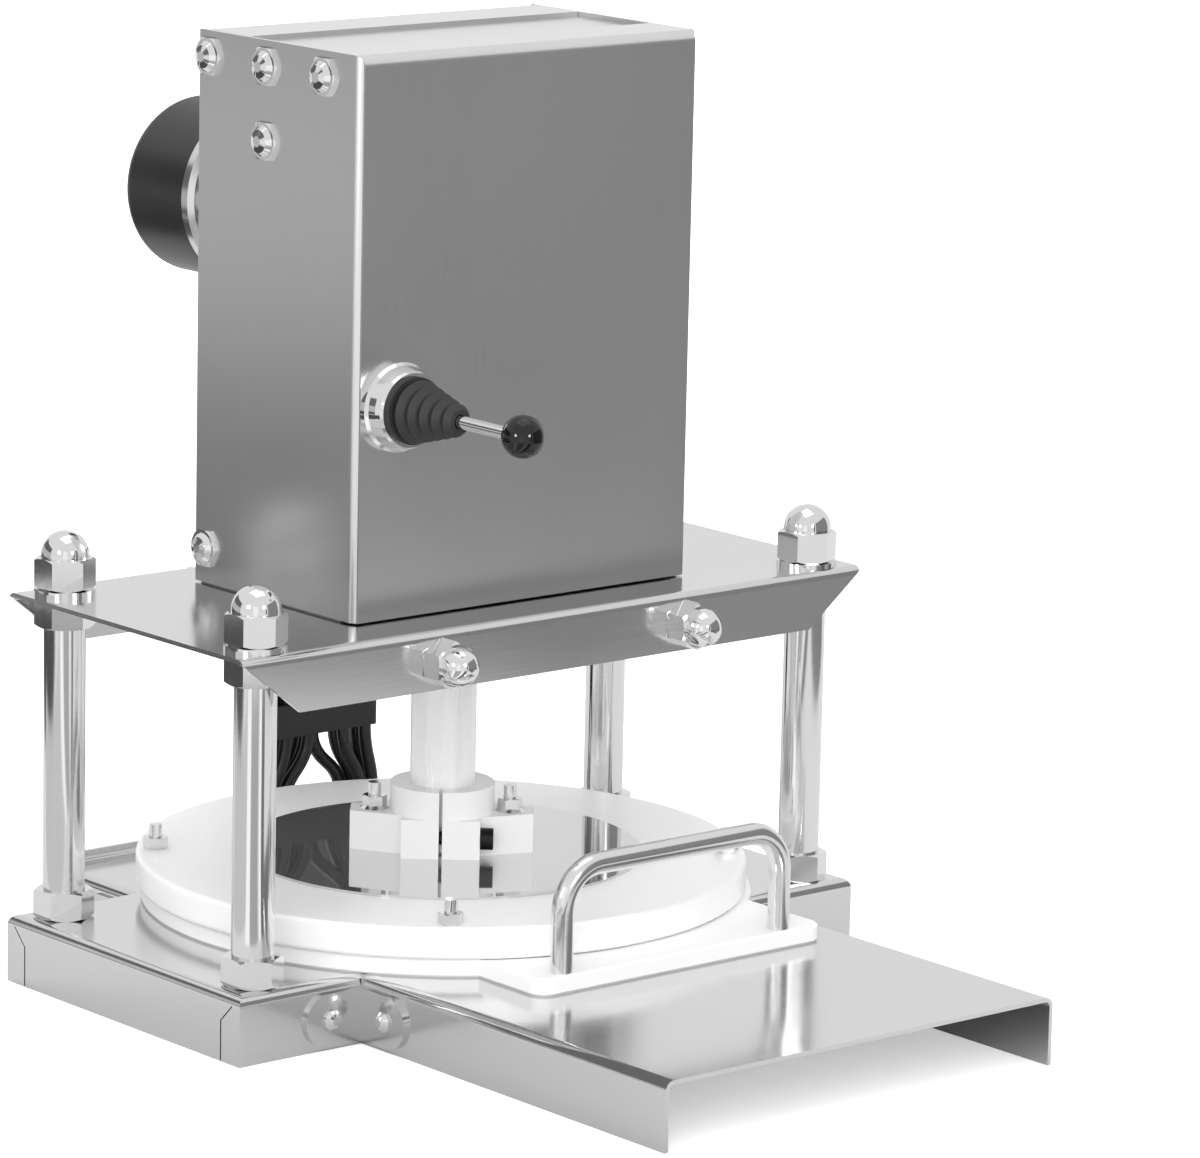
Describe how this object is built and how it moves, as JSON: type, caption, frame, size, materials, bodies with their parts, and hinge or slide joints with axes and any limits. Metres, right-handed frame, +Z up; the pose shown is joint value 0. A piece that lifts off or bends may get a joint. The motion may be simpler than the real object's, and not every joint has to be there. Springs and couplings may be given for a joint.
{
  "type": "pizza dough press",
  "caption": "Electric pizza dough press: round press disc on a rack-driven ram, sliding dough board with handle, joystick and rear gearmotor on a folded steel stand.",
  "frame": {"origin": "centre of the footprint box, on the bench under the base", "axes": "+X to the operator's right, +Y away from the operator towards the motor, +Z up"},
  "size_m": [0.3574, 0.4539, 0.431],
  "materials": {
    "brushed_sheet": "brushed stainless sheet, satin",
    "polished_sheet": "mirror-polished stainless sheet",
    "polished_steel": "polished stainless nuts, bolts and bars",
    "column_steel": "bright ground round bar",
    "machined_steel": "machined steel, lightly oiled",
    "bronze": "plain bearing bronze",
    "motor_silver": "turned aluminium, satin",
    "black_plastic": "black moulded plastic",
    "black_rubber": "black rubber, satin",
    "gloss_black": "glossy black phenolic",
    "white_plastic": "white food-grade plastic, satin",
    "white_metal": "pale coated casting, satin"
  },
  "bodies": {
    "frame": {"base_tray": "brushed_sheet", "corner_brackets": "brushed_sheet", "bracket_bolts": "polished_steel", "base_beam_front": "machined_steel", "base_beam_rear": "machined_steel", "column_front_left": "column_steel", "column_front_right": "column_steel", "column_rear_left": "column_steel", "column_rear_right": "column_steel", "foot_nuts": "polished_steel", "plate_nuts": "polished_steel", "plate_washers": "polished_steel", "acorn_nuts": "polished_steel", "top_plate": "brushed_sheet", "tie_rods": "machined_steel", "tie_rod_locknuts": "polished_steel", "tie_rod_acorns": "polished_steel", "housing_shell": "brushed_sheet", "back_panel": "brushed_sheet", "top_cover": "brushed_sheet", "side_rail_left": "machined_steel", "side_rail_right": "machined_steel", "gear_plate_front": "machined_steel", "gear_plate_rear": "machined_steel", "frame_bolts": "polished_steel", "ram_bush": "bronze", "bush_screws": "polished_steel", "rack_guide": "bronze", "gearmotor_body": "motor_silver", "motor_cowl": "black_plastic", "motor_screws": "machined_steel", "shaft_bearings": "machined_steel", "limit_switches": "black_plastic", "joystick_bezel": "polished_steel", "joystick_body": "black_plastic", "lever_pin": "machined_steel", "lever_boot": "black_rubber", "cord_gland": "black_plastic", "power_cord": "black_rubber", "cord_coil": "black_rubber", "cord_tie": "black_plastic", "power_plug": "black_plastic"},
    "ram": {"ram_shaft": "column_steel", "drive_rack": "machined_steel", "rack_screws": "machined_steel", "hub_clamp": "white_metal", "clamp_screw": "machined_steel", "hub_bolts": "polished_steel", "mirror_plate": "polished_sheet", "press_disc": "white_plastic", "disc_bolts": "polished_steel"},
    "pinion": {"output_shaft": "machined_steel", "drive_pinion": "machined_steel", "shaft_key": "machined_steel"},
    "tray": {"tray_board": "white_plastic", "tray_handle": "polished_steel", "handle_screws": "machined_steel"},
    "lever": {"lever_rod": "polished_steel", "ball_knob": "gloss_black"}
  },
  "joints": [
    {"name": "ram_slide", "type": "slide", "parent": "frame", "child": "ram", "axis": [0, 0, 1], "range_m": [0, 0.06]},
    {"name": "pinion_turn", "type": "hinge", "parent": "frame", "child": "pinion", "pos_m": [-0.025, 0.0654, 0.345], "axis": [0, -1, 0], "range_deg": [0, 240]},
    {"name": "tray_slide", "type": "slide", "parent": "frame", "child": "tray", "axis": [0, -1, 0], "range_m": [0, 0.128]},
    {"name": "lever_tilt", "type": "hinge", "parent": "frame", "child": "lever", "pos_m": [-0.0746, 0.0032, 0.276], "axis": [1, 0, 0], "range_deg": [-16, 16], "stiffness_Nm_per_rad": 0.6, "deforming": ["lever_boot"]}
  ],
  "couplings": [
    {"joint": "pinion_turn", "follows": "ram_slide", "rad_per_m": 66.667}
  ]
}
